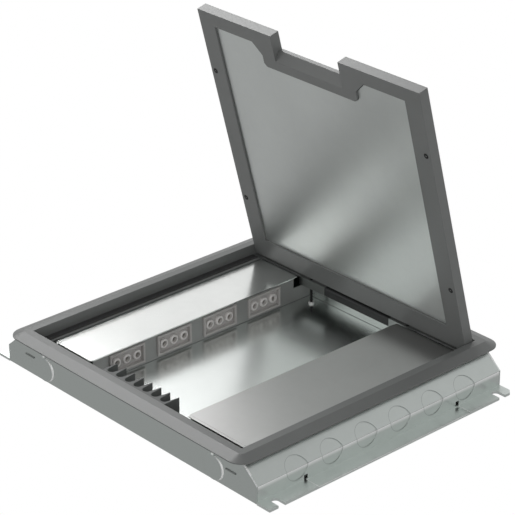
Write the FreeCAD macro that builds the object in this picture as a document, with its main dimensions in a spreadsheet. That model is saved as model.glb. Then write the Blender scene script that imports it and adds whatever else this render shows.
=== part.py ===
"""Floor socket box for a raised or screeded floor: a folded steel base, a bevelled
trim frame with a hinged lid, two covered wiring compartments and two socket plates.

X runs across the box, Y from the cable comb to the lid hinge, and Z up. The origin is
on the floor under the middle of the trim frame. The lid stands part open at rest.
"""
import FreeCAD, Part
import math
import os
import Sketcher
from FreeCAD import Placement, Rotation, Vector

os.makedirs("parts", exist_ok=True)
doc = FreeCAD.newDocument("FloorSocketBox")
sheet = doc.addObject("Spreadsheet::Sheet", "Sizes")

SIZES = {
    # trim frame
    "opening_width": 305.0,
    "opening_length": 305.0,
    "frame_margin": 19.0,
    "frame_top": 42.0,
    "frame_thickness": 5.0,
    "bevel_run": 11.0,
    "bevel_drop": 4.0,
    "frame_corner_radius": 16.0,
    "land_corner_radius": 4.0,
    "seat_wall": 3.0,
    "ledge_width": 11.0,
    "ledge_sheet": 2.0,
    "ledge_drop": 12.4,
    "gasket_width": 7.5,
    "gasket_height": 1.0,
    "gasket_hinge_gap": 8.8,
    # lid
    "lid_clearance": 1.2,
    "lid_height": 11.0,
    "lid_open_angle": 75.0,
    "hinge_inset": 5.0,
    "hinge_drop": 4.75,
    "hinge_pin_radius": 2.0,
    "hinge_pin_grip": 9.0,
    "hinge_running_gap": 0.06,
    "lid_border": 21.3,
    "lid_rear_border": 25.3,
    "lid_front_border": 15.0,
    "lid_recess": 3.5,
    "lid_plate_sheet": 1.5,
    "plate_clearance": 0.3,
    "tray_rim": 2.5,
    "tray_depth": 4.0,
    "tray_sheet": 1.0,
    "lid_heel_chamfer": 1.4,
    "notch_width": 92.0,
    "notch_depth": 19.7,
    "notch_chute": 9.5,
    "plate_notch_width": 128.0,
    "plate_notch_depth": 24.0,
    "plate_notch_chamfer": 12.0,
    "plate_notch_corner": 3.5,
    # base
    "base_side_margin": 29.5,
    "base_front_margin": 8.9,
    "base_rear_margin": 5.1,
    "sheet_steel": 1.5,
    "fold_height": 18.6,
    "rim_height": 36.7,
    "shoulder_run": 21.0,
    "flange_reach": 17.0,
    "flange_corner": 4.0,
    "lug_length": 60.1,
    "lug_sheet": 1.2,
    "slot_width": 8.0,
    "slot_length": 12.5,
    "slot_end": 14.8,
    "relief_width": 4.4,
    "relief_height": 4.6,
    "bend_radius": 1.2,
    "knockout_radius": 13.0,
    "knockout_step": 0.4,
    "end_knockout_step": 1.2,
    "side_knockout_pitch": 44.0,
    "side_knockout_count": 6,
    "end_knockout_spread": 248.0,
    "end_knockout_height": 14.0,
    "end_knockout_radius": 12.6,
    "end_slot_spread": 295.0,
    "end_slot_height": 19.6,
    "end_slot_length": 14.0,
    "end_slot_width": 1.6,
    "fixing_hole_radius": 2.75,
    "fixing_side_inset": 47.5,
    "fixing_end_inset": 32.5,
    # wiring compartments
    "well_left": 84.5,
    "well_right": 60.0,
    "plate_sheet": 1.2,
    "plate_overhang": 1.0,
    "cover_gap": 2.0,
    "cover_end_gap": 8.5,
    "cover_top": 29.6,
    "cover_sheet": 1.2,
    "cover_lip": 6.0,
    "shelf_flange": 10.0,
    "end_notch_height": 17.0,
    "rail_inset": 3.0,
    # sockets
    "socket_count": 4,
    "socket_pitch": 60.6,
    "socket_width": 44.0,
    "socket_height": 21.5,
    "socket_centre": 15.6,
    "bezel_depth": 2.0,
    "bezel_border": 2.2,
    "socket_body_depth": 22.0,
    "socket_body_inset": 1.6,
    "recess_depth": 3.6,
    "pole_pitch": 13.0,
    "pole_bore": 2.6,
    "pole_depth": 15.0,
    "busbar_width": 4.5,
    "busbar_sheet": 1.0,
    "busbar_pitch": 6.0,
    # cable comb
    "comb_teeth": 8,
    "comb_pitch": 12.84,
    "comb_reach": 18.6,
    "comb_height": 24.0,
    "comb_web": 2.3,
    "comb_tip": 0.8,
    "comb_slot_radius": 4.4,
    # levelling screws
    "leveller_spread_width": 139.0,
    "leveller_inset": 8.0,
    "leveller_radius": 1.5,
    "leveller_running_gap": 0.08,
    "leveller_foot_radius": 3.0,
    "leveller_foot_height": 1.8,
    "leveller_access": 4.8,
    "bracket_width": 37.0,
    "bracket_sheet": 1.2,
    "bracket_drop": 7.4,
    "nut_height": 2.4,
    "nut_across": 5.5,
}


class Size:
    """A number that also carries the sheet formula it comes from."""

    def __init__(self, value, text):
        self.value = float(value)
        self.text = text

    def __add__(self, other):
        other = size_of(other)
        return Size(self.value + other.value, f"({self.text} + {other.text})")

    def __sub__(self, other):
        other = size_of(other)
        return Size(self.value - other.value, f"({self.text} - {other.text})")

    def __mul__(self, other):
        other = size_of(other)
        return Size(self.value * other.value, f"({self.text} * {other.text})")

    def __truediv__(self, other):
        other = size_of(other)
        return Size(self.value / other.value, f"({self.text} / {other.text})")

    def __neg__(self):
        return Size(-self.value, f"(0 - {self.text})")

    __radd__ = __add__
    __rmul__ = __mul__


def size_of(number):
    """Return number as a Size."""
    return number if isinstance(number, Size) else Size(number, repr(float(number)))


def fill_sheet():
    """Write each driving size to the sheet, and return them all by name."""
    sizes = {}
    for row, (name, value) in enumerate(SIZES.items(), start=1):
        sheet.set(f"A{row}", name)
        sheet.set(f"B{row}", str(value))
        sheet.setAlias(f"B{row}", name)
        sizes[name] = Size(value, f"Sizes.{name}")
    doc.recompute()
    return sizes


class Names:
    """The driving sizes as attributes."""

    def __init__(self, sizes):
        self.__dict__.update(sizes)


s = Names(fill_sheet())
ZERO = size_of(0.0)
parts = []


# ---- document helpers ----------------------------------------------------------------

def bind(thing, prop, size):
    """Bind one property of thing to a sheet formula."""
    thing.setExpression(prop, size_of(size).text)


def new_body(label):
    """Add an empty PartDesign body."""
    body = doc.addObject("PartDesign::Body", label)
    body.Label = label
    return body


def origin_feature(body, role):
    """Return a body's own origin plane or axis by its role."""
    return next(f for f in body.Origin.OriginFeatures if f.Role == role)


def new_sketch(body, name, role, offset=ZERO):
    """Attach a sketch to an origin plane, moved along the plane's normal by offset."""
    sketch = body.newObject("Sketcher::SketchObject", name)
    sketch.AttachmentSupport = [(origin_feature(body, role), "")]
    sketch.MapMode = "FlatFace"
    bind(sketch, "AttachmentOffset.Base.z", offset)
    return sketch


def place_vertex(sketch, index, end, x, y):
    """Hold one end of a sketch edge at x, y from the sketch's origin."""
    for kind, size in (("DistanceX", x), ("DistanceY", y)):
        size = size_of(size)
        row = sketch.addConstraint(Sketcher.Constraint(kind, -1, 1, index, end, size.value))
        sketch.setExpression(f"Constraints[{row}]", size.text)


def add_path(sketch, corners):
    """Draw a closed outline. A corner is (x, y) or (x, y, centre_x, centre_y, turn):
    with a centre, the edge that leaves it is an arc, anticlockwise when turn is 1."""
    first = sketch.GeometryCount
    corners = [tuple(size_of(v) for v in corner[:4]) + tuple(corner[4:]) for corner in corners]
    for index, corner in enumerate(corners):
        following = corners[(index + 1) % len(corners)]
        start = Vector(corner[0].value, corner[1].value, 0)
        stop = Vector(following[0].value, following[1].value, 0)
        if len(corner) == 2:
            sketch.addGeometry(Part.LineSegment(start, stop), False)
            continue
        centre = Vector(corner[2].value, corner[3].value, 0)
        if corner[4] < 0:
            start, stop = stop, start
        radius = (start - centre).Length
        angles = [math.atan2(p.y - centre.y, p.x - centre.x) for p in (start, stop)]
        circle = Part.Circle(centre, Vector(0, 0, 1), radius)
        sketch.addGeometry(Part.ArcOfCircle(circle, angles[0], angles[1]), False)
    ends = [(2, 1) if len(c) > 4 and c[4] < 0 else (1, 2) for c in corners]
    for index, corner in enumerate(corners):
        here, after = first + index, first + (index + 1) % len(corners)
        link = ends[(index + 1) % len(corners)][0]
        sketch.addConstraint(Sketcher.Constraint("Coincident", here, ends[index][1], after, link))
        place_vertex(sketch, here, ends[index][0], corner[0], corner[1])
        if len(corner) == 5:
            chord = [(corners[(index + 1) % len(corners)][k] - corner[k]).value for k in (0, 1)]
            kind, centre = ("DistanceY", corner[3]) if abs(chord[0]) > abs(chord[1]) \
                else ("DistanceX", corner[2])
            row = sketch.addConstraint(
                Sketcher.Constraint(kind, -1, 1, here, 3, centre.value))
            sketch.setExpression(f"Constraints[{row}]", centre.text)


def add_rectangle(sketch, x0, x1, y0, y1):
    """Draw a rectangle between two corners."""
    add_path(sketch, [(x0, y0), (x1, y0), (x1, y1), (x0, y1)])


def add_round_rectangle(sketch, x0, x1, y0, y1, radius):
    """Draw a rectangle with arcs for corners."""
    left, right, low, high = x0 + radius, x1 - radius, y0 + radius, y1 - radius
    add_path(sketch, [
        (left, y0), (right, y0, right, low, 1), (x1, low), (x1, high, right, high, 1),
        (right, y1), (left, y1, left, high, 1), (x0, high), (x0, low, left, low, 1)])


def add_circle(sketch, x, y, radius):
    """Draw a circle with its centre and radius held."""
    x, y, radius = size_of(x), size_of(y), size_of(radius)
    centre = Vector(x.value, y.value, 0)
    index = sketch.addGeometry(Part.Circle(centre, Vector(0, 0, 1), radius.value), False)
    place_vertex(sketch, index, 3, x, y)
    row = sketch.addConstraint(Sketcher.Constraint("Radius", index, radius.value))
    sketch.setExpression(f"Constraints[{row}]", radius.text)


def pad(body, sketch, length, reverse=False, symmetric=False):
    """Grow a sketch into a solid."""
    feature = body.newObject("PartDesign::Pad", f"{sketch.Name}Pad")
    feature.Profile = sketch
    bind(feature, "Length", length)
    feature.Reversed = reverse
    feature.SideType = "Symmetric" if symmetric else "One side"
    return feature


def pocket(body, sketch, length, reverse=False, symmetric=False):
    """Cut a sketch out of the body, and check that it removes something."""
    doc.recompute()
    before = body.Shape.Volume
    feature = body.newObject("PartDesign::Pocket", f"{sketch.Name}Pocket")
    feature.Profile = sketch
    bind(feature, "Length", length)
    feature.Reversed = reverse
    feature.SideType = "Symmetric" if symmetric else "One side"
    doc.recompute()
    if not body.Shape.Volume < before:
        raise RuntimeError(f"{feature.Name} cuts nothing")
    return feature


def pattern(body, features, role, pitch, count, reverse=False):
    """Repeat features along an origin axis."""
    feature = body.newObject("PartDesign::LinearPattern", f"{features[0].Name}Row")
    feature.Originals = features
    feature.Direction = (origin_feature(body, role), [""])
    feature.Reversed = reverse
    feature.Mode = "Spacing"
    bind(feature, "Offset", pitch)
    bind(feature, "Occurrences", count)
    body.Tip = feature
    return feature


def revolve(body, sketch, role):
    """Turn a sketch into a solid round an origin axis."""
    feature = body.newObject("PartDesign::Revolution", f"{sketch.Name}Turn")
    feature.Profile = sketch
    feature.ReferenceAxis = (origin_feature(body, role), [""])
    feature.Angle = 360.0
    return feature


def edges_where(shape, test):
    """Return the names of the edges whose ends both pass the test."""
    chosen = []
    for index, edge in enumerate(shape.Edges, start=1):
        if all(test(vertex.Point) for vertex in edge.Vertexes):
            chosen.append(f"Edge{index}")
    return chosen


def fillet(body, test, radius):
    """Round the edges of the body's last feature that pass the test."""
    doc.recompute()
    base = body.Tip
    feature = body.newObject("PartDesign::Fillet", f"{base.Name}Round")
    feature.Base = (base, edges_where(base.Shape, test))
    bind(feature, "Radius", radius)
    return feature


def chamfer(body, test, size):
    """Bevel the edges of the body's last feature that pass the test."""
    doc.recompute()
    base = body.Tip
    feature = body.newObject("PartDesign::Chamfer", f"{base.Name}Bevel")
    feature.Base = (base, edges_where(base.Shape, test))
    bind(feature, "Size", size)
    return feature


def near(a, b):
    """Tell whether two numbers are the same to a thousandth of a millimetre."""
    return abs(float(a) - float(b)) < 1e-3


def keep(thing):
    """List an object as a sub-part of the model."""
    parts.append(thing)
    return thing


def group(label, source, places, mirrored=()):
    """Make one sub-part from copies of a hidden source, as separate solids.
    A copy whose entry in mirrored is true is mirrored in X before it is placed."""
    doc.recompute()
    feature = doc.addObject("Part::Feature", label)
    feature.Label = label
    copies = []
    for index, place in enumerate(places):
        copy = source.Shape.copy()
        if mirrored and mirrored[index]:
            copy = copy.mirror(Vector(), Vector(1, 0, 0))
        copy.Placement = place
        copies.append(copy)
    feature.Shape = Part.makeCompound(copies)
    feature.Placement = Placement()
    return keep(feature)


def at(x, y, z, turn=Rotation()):
    """Return a placement from three sizes and a rotation."""
    return Placement(Vector(*(size_of(v).value for v in (x, y, z))), turn)


# ---- shared places --------------------------------------------------------------------

half_opening_x = s.opening_width / 2
half_opening_y = s.opening_length / 2
half_base = half_opening_x + s.base_side_margin
base_front = half_opening_y + s.base_front_margin
base_rear = half_opening_y + s.base_rear_margin
ledge_top = s.frame_top - s.ledge_drop
ledge_inner_x = half_opening_x - s.ledge_width
ledge_inner_y = half_opening_y - s.ledge_width
cover_end = ledge_inner_y - s.cover_end_gap
bracket_bottom = ledge_top - s.ledge_sheet - s.bracket_drop
comb_width = s.comb_pitch * (s.comb_teeth - 1) + s.comb_tip
hinge_y = half_opening_y - s.lid_clearance - s.hinge_inset
hinge_z = s.frame_top - s.hinge_drop
leveller_x = s.leveller_spread_width / 2
leveller_y = half_opening_y - s.leveller_inset
cover_underside = s.cover_top - s.cover_sheet


# ---- base -----------------------------------------------------------------------------

def end_wall_outline(sketch):
    """Draw an end wall: upright at the foot, then sloping in to the rim."""
    rim = half_base - s.shoulder_run
    add_path(sketch, [
        (-half_base, ZERO), (half_base, ZERO), (half_base, s.fold_height),
        (rim, s.rim_height), (-rim, s.rim_height), (-half_base, s.fold_height)])


def make_base_pan():
    """Floor and both end walls, folded from one sheet."""
    body = new_body("base_pan")
    floor = new_sketch(body, "pan_floor", "XY_Plane")
    inner = half_base - s.sheet_steel
    add_rectangle(floor, -inner, inner, -base_front, base_rear)
    pad(body, floor, s.sheet_steel)
    for name, offset, reverse in (("front", base_front, True), ("rear", -base_rear, False)):
        wall = new_sketch(body, f"pan_{name}", "XZ_Plane", offset)
        end_wall_outline(wall)
        pad(body, wall, s.sheet_steel, reverse=reverse)
        face = -offset.value
        fillet(body, lambda p: near(p.y, face) and near(p.z, 0), s.bend_radius)
        add_end_wall_marks(body, name, offset, not reverse)
    fixings = new_sketch(body, "pan_fixings", "XY_Plane")
    for side in (-1, 1):
        for end in (-1, 1):
            x = (half_opening_x - s.fixing_side_inset) * side
            y = (half_opening_y - s.fixing_end_inset) * end
            add_circle(fixings, x, y, s.fixing_hole_radius)
    pocket(body, fixings, s.sheet_steel, reverse=True)
    return keep(body)


def add_end_wall_marks(body, name, offset, inward):
    """Add the proud knockouts and the short shallow slots."""
    discs = new_sketch(body, f"pan_{name}_discs", "XZ_Plane", offset)
    for side in (-1, 1):
        x = s.end_knockout_spread / 2 * side
        add_circle(discs, x, s.end_knockout_height, s.end_knockout_radius)
    pad(body, discs, s.end_knockout_step, reverse=inward)
    slots = new_sketch(body, f"pan_{name}_slots", "XZ_Plane", offset)
    for side in (-1, 1):
        x = s.end_slot_spread / 2 * side
        low = s.end_slot_height - s.end_slot_width / 2
        add_rectangle(slots, x - s.end_slot_length / 2, x + s.end_slot_length / 2,
                      low, low + s.end_slot_width)
    pocket(body, slots, s.sheet_steel / 2, reverse=inward)


def side_profile():
    """Return the section of a side panel on +X: upright, then sloping in."""
    rim = half_base - s.shoulder_run
    rise = s.rim_height - s.fold_height
    slope = math.hypot(s.shoulder_run.value, rise.value)
    across = Size(s.sheet_steel.value * slope / s.shoulder_run.value,
                  f"({s.sheet_steel.text} * sqrt({s.shoulder_run.text}^2 + {rise.text}^2)"
                  f" / {s.shoulder_run.text})")
    inner = half_base - s.sheet_steel
    step = Size(s.sheet_steel.value * rise.value / s.shoulder_run.value,
                f"({s.sheet_steel.text} * {rise.text} / {s.shoulder_run.text})")
    inner_fold = s.fold_height - across + step
    return [(inner, ZERO), (half_base, ZERO), (half_base, s.fold_height),
            (rim, s.rim_height), (rim, s.rim_height - across), (inner, inner_fold)]


def make_side_panel(label, side):
    """Folded long side with its floor flange, fixing lugs and knockouts."""
    body = new_body(label)
    front, rear = base_front - s.sheet_steel, base_rear - s.sheet_steel
    wall = new_sketch(body, f"{label}_wall", "XZ_Plane", -rear)
    add_path(wall, [(x * side, z) for x, z in side_profile()])
    pad(body, wall, front + rear)
    outer, corner = half_base + s.flange_reach, s.flange_corner
    chamfered = [(outer * side, base_rear - corner), ((outer - corner) * side, base_rear)]
    flange = new_sketch(body, f"{label}_flange", "XY_Plane")
    add_path(flange, [
        (half_base * side, -base_front), (outer * side, -base_front), *chamfered,
        (half_base * side, base_rear)])
    pad(body, flange, s.sheet_steel)
    lugs = new_sketch(body, f"{label}_lugs", "XY_Plane", s.sheet_steel)
    add_rectangle(lugs, half_base * side, outer * side, -base_front,
                  s.lug_length - base_front)
    low = base_rear - s.lug_length
    add_path(lugs, [(half_base * side, low), (outer * side, low), *chamfered,
                    (half_base * side, base_rear)])
    pad(body, lugs, s.lug_sheet)
    slots = new_sketch(body, f"{label}_slots", "XY_Plane")
    half = s.slot_width / 2
    root, mouth = (outer - s.slot_length + half) * side, (outer + 2) * side
    for y in (s.slot_end - base_front, base_rear - s.slot_end):
        add_path(slots, [(mouth, y - half), (root, y - half, root, y, -side),
                         (root, y + half), (mouth, y + half)])
    pocket(body, slots, s.sheet_steel + s.lug_sheet, reverse=True)
    reliefs = new_sketch(body, f"{label}_reliefs", "YZ_Plane", half_base * side)
    foot = s.sheet_steel + s.lug_sheet
    for y in (s.lug_length - base_front, base_rear - s.lug_length):
        add_rectangle(reliefs, y - s.relief_width / 2, y + s.relief_width / 2,
                      foot, foot + s.relief_height)
    pocket(body, reliefs, s.sheet_steel, reverse=side < 0)
    add_side_knockouts(body, label, side)
    return keep(body)


def add_side_knockouts(body, label, side):
    """Press in the row of knockouts whose discs straddle the fold."""
    count, pitch = s.side_knockout_count, s.side_knockout_pitch
    middle = (base_rear - base_front) / 2
    start = middle - pitch * (count - 1) / 2
    rise = s.rim_height - s.fold_height
    tilt = math.degrees(math.atan2(s.shoulder_run.value, rise.value))
    cuts = []
    for name, sense in (("slope", 1), ("wall", -1)):
        disc = new_sketch(body, f"{label}_{name}_disc", "YZ_Plane", half_base * side)
        bind(disc, "AttachmentOffset.Base.y", s.fold_height)
        if sense > 0:
            disc.AttachmentOffset = Placement(
                Vector(0, s.fold_height.value, half_base.value * side),
                Rotation(Vector(-side, 0, 0), tilt))
            text = f"atan({s.shoulder_run.text} / {rise.text})"
            disc.setExpression("AttachmentOffset.Rotation.Angle", text)
        add_path(disc, [
            (start + s.knockout_radius, ZERO, start, ZERO, sense),
            (start - s.knockout_radius, ZERO)])
        cuts.append(pocket(body, disc, s.knockout_step, reverse=side < 0))
    pattern(body, cuts, "Y_Axis", pitch, count)


# ---- trim frame -----------------------------------------------------------------------

def make_trim_frame():
    """Bevelled surround with the lid's seat and its ledge, cut away for the comb."""
    body = new_body("trim_frame")
    base = s.frame_top - s.frame_thickness
    shoulder = s.frame_top - s.bevel_drop
    x, y = half_opening_x + s.frame_margin, half_opening_y + s.frame_margin
    edge = new_sketch(body, "frame_edge", "XY_Plane", base)
    add_round_rectangle(edge, -x, x, -y, y, s.frame_corner_radius)
    pad(body, edge, shoulder - base)
    low = new_sketch(body, "frame_bevel_low", "XY_Plane", shoulder)
    add_round_rectangle(low, -x, x, -y, y, s.frame_corner_radius)
    high = new_sketch(body, "frame_bevel_high", "XY_Plane", s.frame_top)
    land_x, land_y = x - s.bevel_run, y - s.bevel_run
    add_round_rectangle(high, -land_x, land_x, -land_y, land_y, s.land_corner_radius)
    bevel = body.newObject("PartDesign::AdditiveLoft", "frame_bevel")
    bevel.Profile = low
    bevel.Sections = [high]
    bevel.Ruled = True
    wall_x, wall_y = half_opening_x + s.seat_wall, half_opening_y + s.seat_wall
    wall = new_sketch(body, "frame_seat", "XY_Plane", base)
    add_rectangle(wall, -wall_x, wall_x, -wall_y, wall_y)
    pad(body, wall, base - ledge_top + s.ledge_sheet, reverse=True)
    opening = new_sketch(body, "frame_opening", "XY_Plane", s.frame_top)
    add_rectangle(opening, -half_opening_x, half_opening_x, -half_opening_y, half_opening_y)
    pocket(body, opening, s.ledge_drop)
    well = new_sketch(body, "frame_well", "XY_Plane", s.frame_top)
    add_rectangle(well, -ledge_inner_x, ledge_inner_x, -ledge_inner_y, ledge_inner_y)
    pocket(body, well, s.ledge_drop + s.ledge_sheet)
    gaps = new_sketch(body, "frame_comb_gaps", "XY_Plane", ledge_top)
    half = comb_width / 2 + s.lid_clearance
    add_rectangle(gaps, -half, half, -half_opening_y, -ledge_inner_y)
    add_rectangle(gaps, -half, half, ledge_inner_y, half_opening_y)
    pocket(body, gaps, s.ledge_sheet)
    access = new_sketch(body, "frame_access", "XY_Plane", ledge_top)
    for side in (-1, 1):
        for end in (-1, 1):
            add_access(access, side, end)
    pocket(body, access, s.ledge_sheet)
    bores = new_sketch(body, "frame_hinge_bores", "YZ_Plane")
    add_circle(bores, hinge_y, hinge_z, s.hinge_pin_radius + s.hinge_running_gap)
    pocket(body, bores, wall_x * 2, symmetric=True)
    return keep(body)


def add_access(sketch, side, end):
    """Draw the window in the ledge over one levelling screw."""
    x, y, half = leveller_x * side, leveller_y * end, s.leveller_access / 2
    add_rectangle(sketch, x - half, x + half, y - half, y + half)


def make_gasket():
    """Foam strip on three sides of the ledge, clear of the lid's turning heel."""
    body = new_body("lid_gasket")
    strip = new_sketch(body, "gasket_strip", "XY_Plane", ledge_top)
    gap = s.plate_clearance
    x, y = half_opening_x - gap, half_opening_y - gap
    inner_x, front, end = x - s.gasket_width, s.gasket_width - y, hinge_y - s.gasket_hinge_gap
    add_path(strip, [
        (-x, -y), (x, -y), (x, end), (inner_x, end), (inner_x, front),
        (-inner_x, front), (-inner_x, end), (-x, end)])
    pad(body, strip, s.gasket_height)
    cuts = new_sketch(body, "gasket_cuts", "XY_Plane", ledge_top)
    half = comb_width / 2 + s.lid_clearance
    add_rectangle(cuts, -half, half, -half_opening_y, -ledge_inner_y)
    for side in (-1, 1):
        add_access(cuts, side, -1)
    pocket(body, cuts, s.gasket_height, reverse=True)
    return keep(body)


def make_cable_comb():
    """Moulded comb: pointed teeth on a web, with round-bottomed cable slots."""
    body = new_body("cable_comb")
    half = comb_width / 2
    back = -half_opening_y
    tip = back + s.comb_reach
    block = new_sketch(body, "comb_block", "XY_Plane", s.frame_top)
    add_rectangle(block, -half, half, back, tip)
    pad(body, block, s.comb_height, reverse=True)
    slot = new_sketch(body, "comb_slot", "XY_Plane", s.frame_top)
    middle = s.comb_pitch / 2 - comb_width / 2 + s.comb_tip / 2
    radius = s.comb_slot_radius
    root = back + s.comb_web + radius
    mouth = (s.comb_pitch - s.comb_tip) / 2
    add_path(slot, [
        (middle + mouth, tip), (middle - mouth, tip),
        (middle - radius, root, middle, root, 1), (middle + radius, root)])
    cut = pocket(body, slot, s.comb_height)
    pattern(body, [cut], "X_Axis", s.comb_pitch, s.comb_teeth - 1)
    return keep(body)


# ---- lid ------------------------------------------------------------------------------
# The lid's pieces are drawn closed, from the hinge axis, and turned open by placement.

lid_rear = s.hinge_inset
lid_front = lid_rear - (s.opening_length - s.lid_clearance * 2)
lid_side = half_opening_x - s.lid_clearance
lid_top = s.hinge_drop
lid_bottom = lid_top - s.lid_height


def open_lid(thing):
    """Turn a lid piece about the hinge axis to the angle that the lid rests at."""
    thing.Placement = Placement(
        Vector(0, hinge_y.value, hinge_z.value),
        Rotation(Vector(1, 0, 0), -s.lid_open_angle.value))
    return thing


def notched_outline(sketch, side, front, rear, notch_half, notch_floor):
    """Draw the lid's outline with the cable notch in its front edge."""
    add_path(sketch, [
        (-side, front), (-notch_half, front), (-notch_half, notch_floor),
        (notch_half, notch_floor), (notch_half, front), (side, front),
        (side, rear), (-side, rear)])


def plate_outline(sketch, inset):
    """Draw the underside plate, stepped round the notch with chamfered shoulders."""
    side = lid_side - s.lid_border - inset
    front = lid_front + s.lid_front_border + inset
    rear = lid_rear - s.lid_rear_border - inset
    half = s.plate_notch_width / 2 + inset
    floor = lid_front + s.lid_front_border + s.plate_notch_depth + inset
    chamfer, corner = s.plate_notch_chamfer, s.plate_notch_corner
    add_path(sketch, [
        (-side, front), (-half - chamfer, front), (-half, front + chamfer),
        (-half, floor - corner), (corner - half, floor), (half - corner, floor),
        (half, floor - corner), (half, front + chamfer), (half + chamfer, front),
        (side, front), (side, rear), (-side, rear)])


def make_lid_frame():
    """Lid casting: notched border, recess for the plate below and tray above."""
    body = new_body("lid_frame")
    outline = new_sketch(body, "lid_outline", "XY_Plane", lid_bottom)
    notch = s.notch_width / 2
    notched_outline(outline, lid_side, lid_front, lid_rear, notch, lid_front + s.notch_depth)
    pad(body, outline, s.lid_height)
    fillet(body, lambda p: near(p.y, lid_rear.value) and near(p.z, lid_top.value),
           s.hinge_drop - 0.1)
    chamfer(body, lambda p: near(p.y, lid_rear.value) and near(p.z, lid_bottom.value),
            s.lid_heel_chamfer)
    chute = new_sketch(body, "lid_chute", "YZ_Plane")
    floor = lid_front + s.notch_depth
    add_path(chute, [
        (floor, lid_top - s.tray_depth), (floor, lid_bottom), (floor + s.notch_chute, lid_bottom)])
    pocket(body, chute, s.notch_width, symmetric=True)
    recess = new_sketch(body, "lid_plate_recess", "XY_Plane", lid_bottom)
    plate_outline(recess, ZERO)
    pocket(body, recess, s.lid_recess, reverse=True)
    tray = new_sketch(body, "lid_tray_recess", "XY_Plane", lid_top)
    rim = s.tray_rim
    notched_outline(tray, lid_side - rim, lid_front + rim, -lid_rear - rim,
                    notch + rim, lid_front + s.notch_depth + rim)
    pocket(body, tray, s.tray_depth)
    bores = new_sketch(body, "lid_hinge_bores", "YZ_Plane", -lid_side)
    add_circle(bores, ZERO, ZERO, s.hinge_pin_radius)
    pocket(body, bores, s.hinge_pin_grip, reverse=True)
    bores = new_sketch(body, "lid_hinge_bores_right", "YZ_Plane", lid_side)
    add_circle(bores, ZERO, ZERO, s.hinge_pin_radius)
    pocket(body, bores, s.hinge_pin_grip)
    return keep(open_lid(body))


def make_lid_plate():
    """Bright steel plate in the lid's underside."""
    body = new_body("lid_plate")
    sketch = new_sketch(body, "plate_sheet_outline", "XY_Plane",
                        lid_bottom + s.lid_recess - s.lid_plate_sheet)
    plate_outline(sketch, s.plate_clearance)
    pad(body, sketch, s.lid_plate_sheet)
    return keep(open_lid(body))


def make_lid_tray():
    """Steel tray floor under the floor covering."""
    body = new_body("lid_tray")
    sketch = new_sketch(body, "tray_outline", "XY_Plane", lid_top - s.tray_depth)
    inset = s.tray_rim + s.plate_clearance
    notched_outline(sketch, lid_side - inset, lid_front + inset, -lid_rear - inset,
                    s.notch_width / 2 + inset, lid_front + s.notch_depth + inset)
    pad(body, sketch, s.tray_sheet)
    return keep(open_lid(body))


def make_hinge_pins():
    """Two pins pressed into the lid's ends that turn in the frame's seat wall."""
    source = new_body("hinge_pin_source")
    circle = new_sketch(source, "hinge_pin_circle", "XY_Plane")
    add_circle(circle, ZERO, ZERO, s.hinge_pin_radius)
    pad(source, circle, s.hinge_pin_grip + s.lid_clearance + s.seat_wall - s.plate_clearance)
    start = lid_side - s.hinge_pin_grip
    places = [at(start * side, hinge_y, hinge_z, Rotation(Vector(0, 1, 0), 90 * side))
              for side in (-1, 1)]
    group("hinge_pins", source, places)


# ---- wiring compartments --------------------------------------------------------------

def make_cover_plate(label, inner, side):
    """Lift-out cover over a wiring compartment, turned down at its outer edge."""
    body = new_body(label)
    outer = ledge_inner_x - s.cover_gap
    edge = inner - s.plate_overhang
    sketch = new_sketch(body, f"{label}_section", "XZ_Plane", -cover_end)
    top, under = s.cover_top, cover_underside
    corners = [
        (edge * side, under), (edge * side, top), (outer * side, top),
        (outer * side, top - s.cover_lip), ((outer - s.cover_sheet) * side, top - s.cover_lip),
        ((outer - s.cover_sheet) * side, under)]
    add_path(sketch, corners)
    pad(body, sketch, cover_end * 2)
    fillet(body, lambda p: near(p.z, top.value) and near(abs(p.x), outer.value), s.cover_sheet)
    return keep(body)


def make_socket_plate(label, inner, side):
    """Upright plate between well and compartment, with a foot and a top flange."""
    body = new_body(label)
    sheet_gap = s.plate_sheet
    floor, top = s.sheet_steel, cover_underside
    front, rear = base_front - s.sheet_steel, base_rear - s.sheet_steel
    back = (inner + s.shelf_flange)
    sketch = new_sketch(body, f"{label}_section", "XZ_Plane", -rear)
    add_path(sketch, [
        (inner * side, floor), (inner * side, top), (back * side, top),
        (back * side, top - sheet_gap), ((inner + sheet_gap) * side, top - sheet_gap),
        ((inner + sheet_gap) * side, floor + sheet_gap), (back * side, floor + sheet_gap),
        (back * side, floor)])
    pad(body, sketch, front + rear)
    ends = new_sketch(body, f"{label}_ends", "YZ_Plane")
    add_rectangle(ends, -front - 1, -cover_end, s.end_notch_height, top + 1)
    add_rectangle(ends, cover_end, rear + 1, s.end_notch_height, top + 1)
    pocket(body, ends, half_base * 2, symmetric=True)
    feet = new_sketch(body, f"{label}_foot_ends", "XY_Plane", floor)
    near_x, far_x = (inner + sheet_gap) * side, (back + 1) * side
    add_rectangle(feet, near_x, far_x, -front - 1, -cover_end)
    add_rectangle(feet, near_x, far_x, cover_end, rear + 1)
    pocket(body, feet, sheet_gap * 2, reverse=True)
    windows = new_sketch(body, f"{label}_window", "YZ_Plane")
    half_y = s.socket_width / 2 - s.socket_body_inset + s.plate_clearance / 2
    half_z = s.socket_height / 2 - s.socket_body_inset + s.plate_clearance / 2
    first = -s.socket_pitch * (s.socket_count - 1) / 2
    add_rectangle(windows, first - half_y, first + half_y,
                  s.socket_centre - half_z, s.socket_centre + half_z)
    cut = pocket(body, windows, half_base * 2, symmetric=True)
    pattern(body, [cut], "Y_Axis", s.socket_pitch, s.socket_count)
    return keep(body)


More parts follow.
